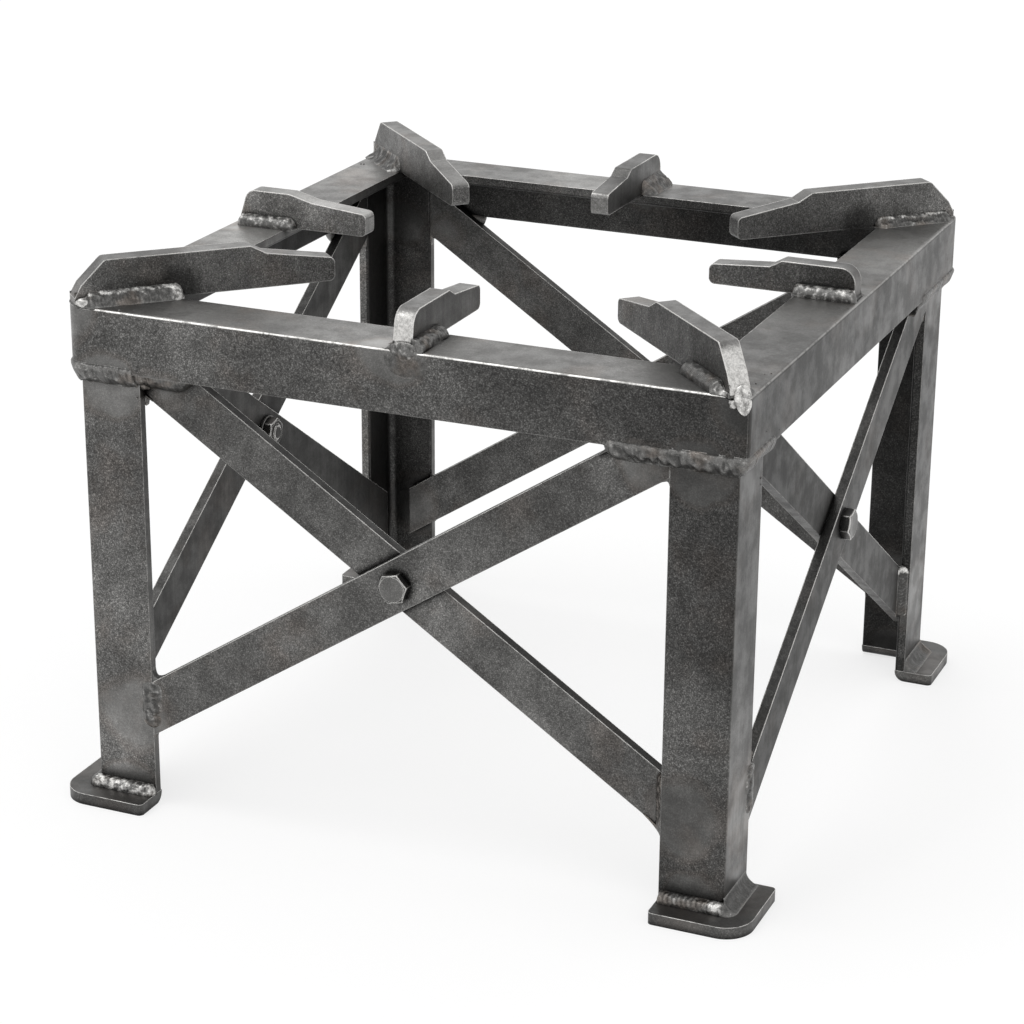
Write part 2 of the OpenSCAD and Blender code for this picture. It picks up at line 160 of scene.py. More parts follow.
class Graph:
    """A node graph, written as nested calls. A value may be a number, a colour or a socket."""

    def __init__(self, owner):
        """owner is the material or world that the graph belongs to."""
        owner.use_nodes = True
        self.owner = owner
        self.tree = owner.node_tree
        self.tree.nodes.clear()

    def node(self, kind, inputs=(), **settings):
        made = self.tree.nodes.new("ShaderNode" + kind)
        for key, value in settings.items():
            setattr(made, key, value)
        for key, value in dict(inputs).items():
            self.put(made.inputs[key], value)
        return made

    def put(self, socket, value):
        if isinstance(value, bpy.types.NodeSocket):
            self.tree.links.new(value, socket)
        else:
            socket.default_value = value

    def math(self, operation, first, second=0.0, clamp=False):
        inputs = {0: first, 1: second}
        return self.node("Math", inputs, operation=operation, use_clamp=clamp).outputs[0]

    def product(self, *factors):
        total = factors[0]
        for factor in factors[1:]:
            total = self.math("MULTIPLY", total, factor)
        return total

    def vector(self, operation, first, second=(0, 0, 0)):
        made = self.node("VectorMath", {0: first, 1: second}, operation=operation)
        return made.outputs["Value" if operation in ("DISTANCE", "DOT_PRODUCT") else "Vector"]

    def scaled(self, colour, value):
        if not isinstance(colour, bpy.types.NodeSocket):
            colour = colour[:3]
        return self.node("VectorMath", {0: colour, "Scale": value}, operation="SCALE").outputs["Vector"]

    def parts(self, vector):
        return self.node("SeparateXYZ", {0: vector}).outputs[:3]

    def mix(self, factor, first, second, blend="MIX"):
        made = self.node("Mix", data_type="RGBA", clamp_factor=True, blend_type=blend)
        self.put(made.inputs[0], factor)
        self.put(made.inputs[6], first)
        self.put(made.inputs[7], second)
        return made.outputs[2]

    def ramp(self, value, low, high, to_low=0.0, to_high=1.0):
        """Smooth step of value from low to high."""
        inputs = {0: value, 1: low, 2: high, 3: to_low, 4: to_high}
        return self.node("MapRange", inputs, interpolation_type="SMOOTHSTEP").outputs[0]

    def noise(self, place, scale, detail=2.0, rough=0.5, stretch=(1, 1, 1)):
        if stretch != (1, 1, 1):
            place = self.vector("MULTIPLY", place, stretch)
        inputs = {"Vector": place, "Scale": scale, "Detail": detail, "Roughness": rough}
        return self.node("TexNoise", inputs).outputs[0]

    def finish(self, shader, kind="OutputMaterial"):
        """End the graph in this shader, and return what it belongs to."""
        self.node(kind, {"Surface": shader})
        return self.owner


# Where welding has heated the steel: (nearer of |x| and |y|, further of the two, z), inner and outer radius
HEAT_ZONES = (
    ((4 * MM, HALF, RING_TOP - 2 * MM), 10 * MM, 24 * MM),
    ((HALF, HALF, RING_TOP - 4 * MM), 10 * MM, 26 * MM),
    ((HALF - STOCK - FLANGE / 2, HALF, RAIL_BOTTOM - 9 * MM), 15 * MM, 27 * MM),
    ((SEAM - 14 * MM, HALF, RAIL_BOTTOM - 11 * MM), 8 * MM, 22 * MM),
    ((SEAM + 12 * MM, HALF, BRACE_LOW - 4 * MM), 15 * MM, 33 * MM),
    ((HALF - STOCK - FLANGE / 2, HALF, FOOT_TOP), 14 * MM, 25 * MM),
)
HEAT_WANDER = 16 * MM    # how far the edge of a heated zone wanders
EDGE = 0.6 * MM          # width of a bright edge, rubbed metal with a painted highlight, unless told otherwise
CREVICE = 6 * MM         # reach of the painted shade line where two pieces meet
WELD_CREVICE = 2 * MM    # and of the painted shade in the dents of a weld bead
BUMP = 0.4 * MM          # depth of the grain
METAL = 0.9              # how metallic the steel looks
IOR = 1.5

# Scales of the patterns, in waves per metre, from the broadest cloud down to the specks of the mill scale
CLOUDS, TINTS, RAGS, WELD_TINTS, MOTTLE, BREAKS, LUMPY, STREAKS, GRAIN, SPECKS = (
    11, 24, 45, 55, 75, 170, 300, 330, 560, 1350)

# Colours that tint the grey or stand for it
NEUTRAL = (1.015, 1.0, 0.97, 1)
RUSTY = (1.06, 0.99, 0.93, 1)
STRAW = (0.9, 0.8, 0.73, 1)
WELD_BROWN = (1.08, 0.97, 0.88, 1)
# Colour of the bright edges and bar ends: rubbed metal, with the highlight painted there
BARE_AND_GLINT = (0.812, 0.8, 0.776, 1)
SLANT = math.sqrt(0.5)   # both parts of a direction along the diagonal

# Outer ends of pot bars that were cut bright by grinding, with a painted highlight on them: a point of the
# end, the way it faces, reach and brightness
GROUND_AND_GLINT_ENDS = (
    ((HALF - 3 * MM, 3 * MM - HALF, RING_TOP + 8 * MM), (SLANT, -SLANT, 0), 24 * MM, 1.0),
    ((7 * MM, -HALF, RING_TOP + 4 * MM), (0, -1, 0), 19 * MM, 1.0),
    ((-3 * MM, 106 * MM, RING_TOP + 8 * MM), (0, -1, 0), 16 * MM, 0.3),
)
# Darker and lighter patches, partly stains and soot and partly painted light and shade: centre and reach in
# mm, factor. The first three are dark ones beside the welds of the corner bars.
PATCHES = (
    ((-152, -161, 309), 17, 0.4),
    ((-166, -175, 308), 13, 0.5),
    ((150, 148, 309), 17, 0.35),
    ((184, 4, 318), 15, 0.6),
    ((HALF / MM, -HALF / MM, 295), 18, 0.65),
    ((0, -183, 317), 15, 0.65),
    ((-168, -176, 320), 38, 0.55),
    ((180, -203, 285), 60, 0.75),
    ((-165, -203, 290), 40, 0.8),
    ((-185, -197, 36), 26, 1.5),
    ((180, -197, 110), 45, 1.7),
    ((180, -197, 30), 22, 1.4),
    ((203, -130, 292), 85, 0.55),
    ((203, 8, 300), 50, 0.7),
    ((200, -170, 60), 45, 1.35),
    ((200, 190, 200), 90, 0.75),
    ((190, 60, 150), 130, 1.25),
    ((96, -190, 112), 50, 1.5),
    ((30, -190, 160), 35, 1.35),
    ((-31, -190, 198), 40, 1.35),
    ((-124, -190, 250), 35, 0.75),
    ((97, -197, 232), 32, 0.75),
    ((131, -197, 254), 25, 1.3),
    ((-60, -197, 132), 40, 1.35),
    ((-30, 195, 275), 70, 2.2),
    ((-178, -10, 305), 60, 1.35),
    ((30, 190, 305), 150, 0.75),
    ((-125, 3, 320), 40, 1.7),
    ((4, 150, 318), 32, 0.65),
)


class Face:
    """What the steel's patterns start from: place and normal, and which way the face looks."""

    def __init__(self, g):
        self.place = g.node("TexCoord").outputs["Object"]
        self.normal = g.node("NewGeometry").outputs["Normal"]
        self.x, self.y, self.z = g.parts(self.place)
        self.nx, self.ny, self.nz = g.parts(self.normal)
        self.fronting = g.ramp(g.math("ABSOLUTE", self.ny), 0.35, 0.7)
        self.sideways = g.ramp(g.math("ABSOLUTE", self.nx), 0.5, 0.9)
        self.upward = g.ramp(self.nz, 0.5, 0.95)
        self.outward = g.vector("DOT_PRODUCT", self.place, self.normal)
        self.shift = wandering(g, self.place)


def wandering(g, place):
    """An uneven shift of the place, by which patches get ragged outlines."""
    wander = g.node("TexNoise", {"Vector": place, "Scale": RAGS, "Detail": 4.0}).outputs["Color"]
    return g.vector("MULTIPLY", g.vector("SUBTRACT", wander, (0.5, 0.5, 0.5)), (HEAT_WANDER,) * 3)


def folded(g, face):
    """The place mirrored and turned into one eighth of the plan, where all welds of a kind coincide."""
    x, y = g.math("ABSOLUTE", face.x), g.math("ABSOLUTE", face.y)
    near, far = g.math("MINIMUM", x, y), g.math("MAXIMUM", x, y)
    return g.node("CombineXYZ", {0: near, 1: far, 2: face.z}).outputs[0]


def heated(g, face):
    """1 close to a weld, falling to 0 along an uneven edge."""
    warped = g.vector("ADD", folded(g, face), face.shift)
    hot = 0.0
    for centre, inner, outer in HEAT_ZONES:
        hot = g.math("MAXIMUM", hot, g.ramp(g.vector("DISTANCE", warped, centre), outer, inner))
    return hot


def ground_and_glint(g, face):
    """Brightness of the bar ends cut bright by grinding, with a painted highlight on them."""
    bright = 0.0
    for centre, facing, reach, strength in GROUND_AND_GLINT_ENDS:
        near = g.ramp(g.vector("DISTANCE", face.place, centre), reach, reach * 0.75)
        faced = g.ramp(g.vector("DOT_PRODUCT", face.normal, facing), 0.45, 0.7)
        bright = g.math("MAXIMUM", bright, g.product(near, faced, strength))
    return bright


def patched(g, face):
    """Factor of the darker and lighter patches, which are partly stains and soot and partly painted light and
    shade.
    """
    warped = g.vector("ADD", face.place, g.vector("MULTIPLY", face.shift, (0.6, 0.6, 0.6)))
    total = 1.0
    for centre, reach, factor in PATCHES:
        away = g.vector("DISTANCE", warped, tuple(c * MM for c in centre))
        total = g.math("MULTIPLY", total, g.ramp(away, reach * MM * 0.4, reach * MM, factor, 1.0))
    return total


def turned(g, face, up, across, tilt, lee):
    """Factor for the way a face is turned, which paints light and shade: up for faces turned up, across for
    faces turned to the sides, tilt for the left and the right, lee for sloping faces.
    """
    lean = g.math("SUBTRACT", 1.0, g.product(face.x, face.fronting, tilt / HALF))
    left_slope, right_slope = 1 + lee, 1 - lee
    return g.product(lean, g.ramp(face.upward, 0, 1, 1, up), g.ramp(face.sideways, 0, 1, 1, across),
                     g.ramp(g.math("MULTIPLY", face.nx, face.nz), -0.3, 0.3, left_slope, right_slope),
                     g.ramp(g.math("MULTIPLY", face.ny, face.nz), -0.3, -0.1, right_slope, 1.0))


def painted_foot_shade(g, face, foot):
    """Painted shade: factor of the darker band above the feet, with a ragged upper edge."""
    ragged = g.math("ADD", face.z, g.math("MULTIPLY", g.parts(face.shift)[2], 0.4))
    return g.ramp(ragged, 13 * MM, 21 * MM, foot, 1.0)


def weathered(g, face, mottle):
    """Factor of the clouds, the mottle and, on faces turned to the sides, upright streaks."""
    cloud = g.ramp(g.noise(face.place, CLOUDS, 3.0, 0.55), 0.3, 0.7, 0.78, 1.26)
    upright = (1, 1, 0.06)
    streaks = g.ramp(g.noise(face.place, STREAKS, 3.0, 0.6, upright), 0.3, 0.7, 0.88, 1.13)
    return g.product(cloud, mottle, g.math("POWER", streaks, face.sideways))


def scale_grain(g, place, plain):
    """Grain of mill scale as a factor and as a height: light specks and dark pits of about half a millimetre.
    plain is how much of it there is."""
    fine = g.noise(place, SPECKS, 1.0, 0.5)
    coarse = g.noise(place, GRAIN, 4.0, 0.6)
    pits, specks = g.ramp(fine, 0.3, 0.54, 0.6, 1.0), g.ramp(fine, 0.54, 0.74, 1.0, 2.2)
    grainy = g.product(pits, specks, g.ramp(coarse, 0.3, 0.7, 0.74, 1.3))
    return g.math("POWER", grainy, plain), g.math("ADD", g.math("MULTIPLY", fine, 0.5), coarse)


def tinted(g, face, hot):
    """Tint of the steel: rusty in patches, straw-coloured round what was hot."""
    tint = g.mix(g.ramp(g.noise(face.place, TINTS, 3.0, 0.6), 0.52, 0.7), NEUTRAL, RUSTY)
    rim = g.math("MULTIPLY", g.ramp(hot, 0.05, 0.4), g.ramp(hot, 0.85, 0.45))
    return g.mix(g.math("MULTIPLY", rim, 0.4), tint, STRAW)


def worn_and_glinting(g, face, soft_edge, wear_and_glint, under, heel):
    """Share of rubbed metal and painted highlight on the edges, more on edges turned up, and on the angle
    iron's rounded edge, mostly where it faces the front.
    """
    off = g.math("SUBTRACT", 1.0, g.vector("DOT_PRODUCT", soft_edge, face.normal))
    broken = g.ramp(g.noise(face.place, BREAKS, 3.0, 0.7), 0.36, 0.54, 0.35, 1.0)
    edges = g.product(g.ramp(off, 0.004, 0.05), g.ramp(g.parts(soft_edge)[2], -0.1, 0.45, under, 1.0), broken,
                      wear_and_glint)
    rounded = g.product(g.ramp(face.nz, 0.42, 0.58), g.ramp(face.nz, 0.9, 0.76),
                        g.ramp(face.ny, 0.2, -0.4, 0.03, 1.0), broken)
    return g.math("MAXIMUM", edges, g.math("MULTIPLY", rounded, heel))


def painted_crevice_shade(g, colour, reach, black, clear, darkest):
    """Painted shade in crevices: the colour, times darkest where a crevice's openness is at most black, and
    unchanged from clear up.
    """
    shade = g.node("AmbientOcclusion", {"Distance": reach}, samples=6).outputs["AO"]
    return g.mix(1.0, colour, g.ramp(shade, black, clear, darkest, 1.0), "MULTIPLY")


def metal(g, colour, roughness, normal):
    """The finished material of steel or weld metal."""
    inputs = {"Base Color": colour, "Roughness": roughness, "Normal": normal, "IOR": IOR, "Metallic": METAL}
    return g.finish(g.node("BsdfPrincipled", inputs).outputs[0])


def steel(name, base, up=2.0, across=1.0, inside=0.5, sides=1.0, foot=1.0, tilt=0.4, lee=0.0, grain=1.0,
          heat=1.0, rough=0.42, wear_and_glint=1.0, edge=EDGE, under=0.2, heel=0.0, ends=0.0, gap=0.48):
    """Mill-scaled steel: dark grainy scale, smooth lighter patches where it was hot, bright edges of rubbed
    metal with a painted highlight, and light and shade painted into the colour.

    base is the value on a face turned to the front or back. These are factors on it for other faces, and they
    paint
    light and shade: up and across for faces turned up and to the sides, inside for faces turned to the middle
    of the stand, sides for faces that don't look outward, foot for the painted shade in the band above the
    feet. tilt makes the faces at the left lighter than those at the right, as painted light. lee lightens
    narrow faces that slope up to the left, and darkens others, as painted light and shade.

    grain, heat and wear_and_glint are factors on the mill scale's grain, the heated zones and the bright
    edges of rubbed metal with their painted highlight. rough is the roughness, edge the width of a bright
    edge, under the share of it on edges turned down, heel the rubbed metal and painted highlight on the angle
    iron's rounded edge, ends that on the bar ends cut bright by grinding, with their painted highlight, gap
    the openness at which the painted crevice shade is black.
    """
    g = Graph(bpy.data.materials.new(name))
    face = Face(g)
    hot = g.math("MULTIPLY", heated(g, face), heat)
    plain = g.product(g.ramp(face.fronting, 0, 1, 0.3, 1.0), g.ramp(hot, 0, 1, 1.0, 0.3), grain)
    speckle, height = scale_grain(g, face.place, plain)
    mottle = g.ramp(g.noise(face.place, MOTTLE, 4.0, 0.6), 0.3, 0.7, 0.88, 1.14)
    # The patches are partly stains and soot and partly painted light and shade.
    patches = patched(g, face)
    # Painted shade: faces turned to the middle of the stand, and faces that don't look outward, are darker.
    inner = g.ramp(face.outward, 25 * MM - HALF, 35 * MM - HALF, inside, 1.0)
    aside = g.ramp(face.outward, HALF - 12 * MM, HALF - 6 * MM, sides, 1.0)
    # The value carries painted light and shade by the way the face is turned, and painted shade in the band
    # above the feet.
    value = g.product(base, turned(g, face, up, across, tilt, lee), inner, aside, painted_foot_shade(g, face, foot),
                      weathered(g, face, mottle), speckle, g.ramp(hot, 0, 1, 1.0, 1.4), patches)
    colour = g.scaled(tinted(g, face, hot), value)

    soft_edge = g.node("Bevel", {"Radius": edge}, samples=6).outputs[0]
    outside_dark_patches = g.ramp(patches, 0.45, 0.9, 0.3, 1.0)
    # Bright edges: rubbed metal with a painted highlight, more on edges turned up.
    bare_and_glint = worn_and_glinting(g, face, soft_edge, g.math("MULTIPLY", outside_dark_patches, wear_and_glint), under, heel)
    bare_and_glint = g.math("MULTIPLY", bare_and_glint, g.ramp(inner, inside, 1.0, 0.8, 1.0), clamp=True)
    # Bar ends cut bright by grinding, with a painted highlight.
    bright_end = g.product(ground_and_glint(g, face), g.ramp(height, 0.5, 1.0, 0.45, 0.9), ends)
    colour = g.mix(g.math("MAXIMUM", bare_and_glint, bright_end), colour, BARE_AND_GLINT)
    # Painted shade where faces meet.
    colour = painted_crevice_shade(g, colour, CREVICE, gap, 0.87, 0.03)

    strength = g.math("MULTIPLY", plain, 0.5)
    bump = g.node("Bump", {"Strength": strength, "Distance": BUMP, "Height": height, "Normal": soft_edge})
    smoother = g.ramp(hot, 0, 1, 0, -0.06)
    roughness = g.math("ADD", g.ramp(mottle, 0.88, 1.14, rough + 0.06, rough - 0.06), smoother)
    return metal(g, colour, roughness, bump.outputs[0])


def weld_steel(name):
    """Weld metal: as grey as the steel, with a painted highlight on its crests and painted shade in its
    dents, and bright in places where the metal shows through, with a painted glint there.
    """
    g = Graph(bpy.data.materials.new(name))
    place = g.node("TexCoord").outputs["Object"]
    speckle, height = scale_grain(g, place, 0.4)
    crest = g.node("NewGeometry").outputs["Pointiness"]
    lump = g.noise(place, LUMPY, 3.0, 0.6)
    shine = g.node("Attribute", attribute_name="shine", attribute_type="GEOMETRY").outputs["Fac"]
    # Painted highlight on crests and painted shade in dents, from how pointed the surface is.
    high = g.math("ADD", g.ramp(crest, 0.46, 0.56), g.ramp(lump, 0.3, 0.7, -0.15, 0.15))
    value = g.product(g.ramp(high, 0.1, 0.9, 0.07, 0.17), speckle)
    # Bright metal: where it shows through, and painted glints on crests, ridges and knots from the shine
    # attribute.
    bare_and_glint = g.math("ADD", g.math("ADD", lump, g.math("MULTIPLY", high, 0.15)), g.math("MULTIPLY", shine, 0.8))
    bare_and_glint = g.ramp(bare_and_glint, 0.78, 1.2)
    bright = g.scaled(NEUTRAL, g.product(speckle, g.ramp(lump, 0.35, 0.65, 0.35, 0.75)))
    tint = g.mix(g.ramp(g.noise(place, WELD_TINTS, 3.0), 0.5, 0.66), NEUTRAL, WELD_BROWN)
    colour = g.mix(bare_and_glint, g.scaled(tint, value), bright)
    # Painted shade in the dents.
    colour = painted_crevice_shade(g, colour, WELD_CREVICE, 0.3, 0.75, 0.25)
    bump = g.node("Bump", {"Strength": 0.45, "Distance": BUMP, "Height": height})
    return metal(g, colour, g.ramp(lump, 0.3, 0.7, 0.3, 0.46), bump.outputs[0])


# The factors up, across, inside, sides, foot, tilt and lee paint light and shade; the edge factors give
# rubbed metal with a painted highlight.
FINISHES = {
    "angle_steel": dict(base=0.088, up=2.6, inside=0.4, heel=1.0, foot=0.5, wear_and_glint=1.4),
    "plate_steel": dict(base=0.09, up=1.1, tilt=0.0, inside=0.7, grain=0.6, heat=0.4),
    "brace_steel": dict(base=0.1, up=1.4, across=0.62, tilt=0.1, inside=0.95, grain=0.8, rough=0.5, lee=0.6,
                        wear_and_glint=1.7, edge=0.8 * MM, gap=0.58),
    "bar_steel": dict(base=0.125, up=1.6, tilt=0.0, inside=0.9, grain=0.9, heat=0.5, wear_and_glint=2.0, edge=1.0 * MM,
                      ends=1.0),
    "bolt_steel": dict(base=0.12, tilt=0.0, inside=0.8, grain=0.4, heat=0.0, rough=0.36, wear_and_glint=2.2,
                       edge=1.3 * MM, under=0.6, sides=0.45),
    "washer_steel": dict(base=0.2, tilt=0.0, inside=1.0, grain=0.4, heat=0.0, rough=0.34),
}
MATERIALS = {name: steel(name, **finish) for name, finish in FINISHES.items()}
MATERIALS["weld_metal"] = weld_steel("weld_metal")


def add(name, data):
    made = bpy.data.objects.new(name, data)
    bpy.context.scene.collection.objects.link(made)
    return made


def dress(obj, material):
    obj.data.materials.clear()
    obj.data.materials.append(material)


slots = {part["node"]: part["material_slot"] for part in frame["record"]["subparts"]}
for node_name, obj in frame["nodes"].items():
    dress(obj, MATERIALS[slots[node_name]])


# --- Weld metal ------------------------------------------------------------------------------------

class Mesh:
    """Points and faces of one piece, gathered from several parts."""

    def __init__(self):
        self.points, self.faces, self.shine = [], [], []

    def tube(self, rings, shine):
        """A closed tube through rings of equally many points. shine says how bright the metal is at each:
        metal showing through, and a painted glint.
        """
        first, size = len(self.points), len(rings[0])
        for ring, bare_and_glint in zip(rings, shine):
            self.points.extend(ring)
            self.shine.extend(bare_and_glint)
        for i in range(len(rings) - 1):
            a, b = first + i * size, first + (i + 1) * size
            for j in range(size):
                n = (j + 1) % size
                self.faces.append((a + j, a + n, b + n, b + j))
        last = first + (len(rings) - 1) * size
        self.faces.append(tuple(first + j for j in reversed(range(size))))
        self.faces.append(tuple(last + j for j in range(size)))

    def piece(self, name, *replaced):
        """The finished piece of weld metal, which stands for the CAD nodes replaced."""
        data = bpy.data.meshes.new(name)
        data.from_pydata([tuple(p) for p in self.points], [], self.faces)
        data.validate()
        work = bmesh.new()
        work.from_mesh(data)
        bmesh.ops.recalc_face_normals(work, faces=work.faces)
        work.to_mesh(data)
        work.free()
        for polygon in data.polygons:
            polygon.use_smooth = True
        data.attributes.new("shine", "FLOAT", "POINT").data.foreach_set("value", self.shine)
        made = add(name, data)
        dress(made, MATERIALS["weld_metal"])
        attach(made, "root")
        if replaced:
            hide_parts(*replaced)


STEP = 0.5 * MM          # distance between the sections of a bead
ACROSS = 12              # steps across a bead
SINK = 0.6 * MM          # depth by which a bead reaches into the steel it joins

# Sections of a bead in the corner of two faces: reach along the first face, height along the second
ROUND = ((1, 0), (0.95, 0.42), (0.66, 0.78), (0.32, 0.95), (0, 1))
FLAT = ((1, 0), (0.78, 0.28), (0.52, 0.54), (0.26, 0.8), (0, 1))
HOLLOW = ((1, 0), (0.62, 0.14), (0.34, 0.34), (0.14, 0.62), (0, 1))

# Surfaces of a bead, in mm: depth, pitch and bow of its ripples, height of lumps and grain, depth of pits;
# then how much of it is bright, as metal showing through and as painted glint, and how much more so along its
# upper ridge, where the highlight is painted
Look = namedtuple("Look", "ripple pitch bow lumps grain pits shine ridge")
SCALLOPS = Look(0.45, 2.8, 0.5, 0.45, 0.1, 0.6, 0.15, 0)
LUMPS = Look(0.22, 5.5, 0.3, 1.3, 0.15, 1.6, 0.15, 0)
FLUTES = Look(0.3, 3.6, 0.2, 0.6, 0.08, 0.3, 0.05, 0)
FINE = Look(0.3, 1.5, 0.8, 0.4, 0.1, 0.5, 0.1, 0)
ROUGH = Look(0.12, 2.2, 0.4, 0.9, 0.22, 0.9, 0.1, 0)
RIDGED = Look(0.12, 2.2, 0.4, 0.7, 0.2, 0.9, 0.12, 0.4)
SILVER = Look(0.08, 3.0, 0.4, 0.2, 0.08, 0.2, 0.3, 0.3)
BRIGHT = Look(0.1, 2.4, 0.4, 0.4, 0.2, 2.8, 0.7, 0)
CHEVRONS = Look(0.28, 2.4, 1.3, 0.3, 0.1, 0.3, 0.45, 0)
RAGGED = Look(0.1, 3.0, 0.4, 1.1, 0.22, 1.2, 0.2, 0)
MOUND = Look(0.05, 4.0, 0.3, 1.0, 0.3, 1.4, 0.08, 0)
BLENDED = Look(0.02, 3.0, 0.3, 0.12, 0.04, 0.1, 0.1, 0)
SMOOTH = Look(0.05, 3.0, 0.3, 0.3, 0.05, 0.2, 0.05, 0)

# Noise of a bead's surface, in waves per metre along it: wander of its ripples, lumps, swell, pits and grain
WANDER, LUMP, SWELL, PIT, ROUGHNESS = 90, 240, 75, 480, 1100
# Where each kind of bead starts in the noise. Other numbers give other lumps.
SEEDS = {"foot": 3.1, "ring": 11.3, "corner_bar": 21.7, "knob": 24.3, "corner_flow": 25.3, "ball": 26.3,
         "side_bar": 31.9, "flow": 35.3, "apron": 36.3, "butt": 41.3, "brace_corner": 51.1, "fill": 61.7,
         "fill_down": 71.9, "web": 81.1, "spatter": 7}
FAN = 10                 # steps of a bead's turn round a corner
END_LEFT = 0.15          # share of its section that a bead keeps at its very end
KNOT_SHINE = 0.7         # how much brighter a knot is: metal showing through, and a painted glint
KNOT_RISE = 0.8 * MM     # how much higher it stands
RIDGE_AT = 0.8           # where a bead's bright ridge, a painted highlight, lies across it, and how far it reaches to either side
RIDGE_REACH = 0.22
DROP_RINGS, DROP_SIDES = 12, 16
SPATTER_DROPS = 7        # at each corner


def sized(shape, reach, height):
    return tuple((a * reach, b * height) for a, b in shape)


def curve(points):
    """Smooth line through a few points in mm, as ACROSS + 1 points in metres."""
    points = [Vector(p) * MM for p in points]
    made = []
    for j in range(ACROSS + 1):
        t = j / ACROSS * (len(points) - 1)
        i = min(int(t), len(points) - 2)
        f = t - i
        a, b, c, d = (points[min(max(n, 0), len(points) - 1)] for n in range(i - 1, i + 3))
        made.append((2 * b + (c - a) * f + (2 * a - 5 * b + 4 * c - d) * f ** 2
                     + (3 * b - a - 3 * c + d) * f ** 3) / 2)
    return made


def outward(line):
    """Directions square to a line, away from the steel."""
    made = []
    for j in range(len(line)):
        along = line[min(j + 1, len(line) - 1)] - line[max(j - 1, 0)]
        made.append(Vector((along.y, -along.x)).normalized())
    return made


def relief(look, s, t, seed):
    """Height of a bead's surface over its section, at distance s along it and share t across it."""
    arch = math.sin(math.pi * t)
    wander = 0.6 * noise.noise(Vector((s * WANDER, seed, 1.7)))
    phase = s / (look.pitch * MM) + look.bow * arch + wander
    groove = 1 - abs(math.sin(math.pi * phase)) ** 0.6
    lump = noise.noise(Vector((s * LUMP, t * 3.2, seed))) + noise.noise(Vector((s * SWELL, seed, t * 0.7)))
    pit = max(0.0, noise.noise(Vector((s * PIT, t * 6, seed + 9))) - 0.3)
    fine = noise.noise(Vector((s * ROUGHNESS, t * 9, seed + 4)))
    height = look.lumps * lump * (0.3 + 0.7 * arch) + look.grain * fine
    return (height - look.ripple * groove * math.sqrt(arch) - look.pits * pit * arch) * MM


def stations(points, outs, turn):
    """Places along a run of straight stretches: (place, outward direction, distance run, stretch).
    At a corner the outward direction fans round while the stretch's number grows by one."""
    run = 0.0
    for i, out in enumerate(outs):
        a, b = Vector(points[i]), Vector(points[i + 1])
        length = (b - a).length
        count = max(2, round(length / STEP))
        for j in range(count + 1):
            yield a.lerp(b, j / count), Vector(out), run + length * j / count, float(i)
        run += length
        if i + 1 < len(outs):
            for j in range(1, FAN):
                blend = Vector(out).lerp(Vector(outs[i + 1]), j / FAN).normalized()
                yield b.copy(), blend, run + turn * j / FAN, i + j / FAN
            run += turn


def between(first, second, share):
    return first * (1 - share) + second * share


def tapered(s, length, ends):
    """Share of its section that a bead has at distance s, with rounded ends of these lengths in mm."""
    share = 1.0
    for distance, end in ((s, ends[0] * MM), (length - s, ends[1] * MM)):
        if end and distance < end:
            share *= max(END_LEFT, math.sqrt(max(0.0, 1 - (1 - distance / end) ** 2)))
    return share


def bareness_and_glint(first, second, share, knot):
    """Share of bright metal at the points across a bead, between two looks: metal showing through, and
    painted glint along the ridge and on knots.
    """
    base = between(first.shine, second.shine, share) + KNOT_SHINE * knot
    ridge = between(first.ridge, second.ridge, share)
    return [min(1.0, base + ridge * max(0.0, 1 - abs(j / ACROSS - RIDGE_AT) / RIDGE_REACH))
            for j in range(ACROSS + 1)]


def weld(mesh, place_in, points, outs, up, sections, looks, seed, ends=(6, 6), turn=5, back=None, fit=None,
         knots=()):
    """A bead along straight stretches, each with its outward direction, section and surface. ends are the
    lengths of the rounded ends in mm, turn the length given to a corner, back closes the section inside the
    steel, and fit gives factors on the bead's outward reach and its height. knots are bright lumps: distance
    along the bead and reach, in mm."""
    places = list(stations(points, outs, turn * MM))
    length = places[-1][2]
    lines = [curve(section) for section in sections]
    normals = [outward(line) for line in lines]
    up = Vector(up)
    rings, shine = [], []
    for place, out, s, stretch in places:
        i = min(int(stretch), len(lines) - 1)
        n = min(i + 1, len(lines) - 1)
        share = stretch - i
        taper = tapered(s, length, ends)
        reach, lift = fit(place, out) if fit else (1.0, 1.0)
        knot = max([0.0] + [1 - abs(s / MM - at) / wide for at, wide in knots])
        ring = []
        for j in range(ACROSS + 1):
            t = j / ACROSS
            at = lines[i][j].lerp(lines[n][j], share)
            rise = between(relief(looks[i], s, t, seed), relief(looks[n], s, t, seed), share)
            rise += KNOT_RISE * min(1.0, 2 * knot) * math.sin(math.pi * t)
            at = (at + normals[i][j].lerp(normals[n][j], share) * rise) * taper
            ring.append(place + out * at.x * reach + up * at.y * lift)
        first = lines[i][0].lerp(lines[n][0], share) * taper
        last = lines[i][-1].lerp(lines[n][-1], share) * taper
        closing = back or ((-SINK, last.y), (-SINK, -SINK), (first.x, min(first.y, 0) - SINK))
        ring.extend(place + out * a * reach + up * b for a, b in closing)
        rings.append([place_in @ p for p in ring])
        shine.append(bareness_and_glint(looks[i], looks[n], share, knot) + [0.0] * len(closing))
    mesh.tube(rings, shine)


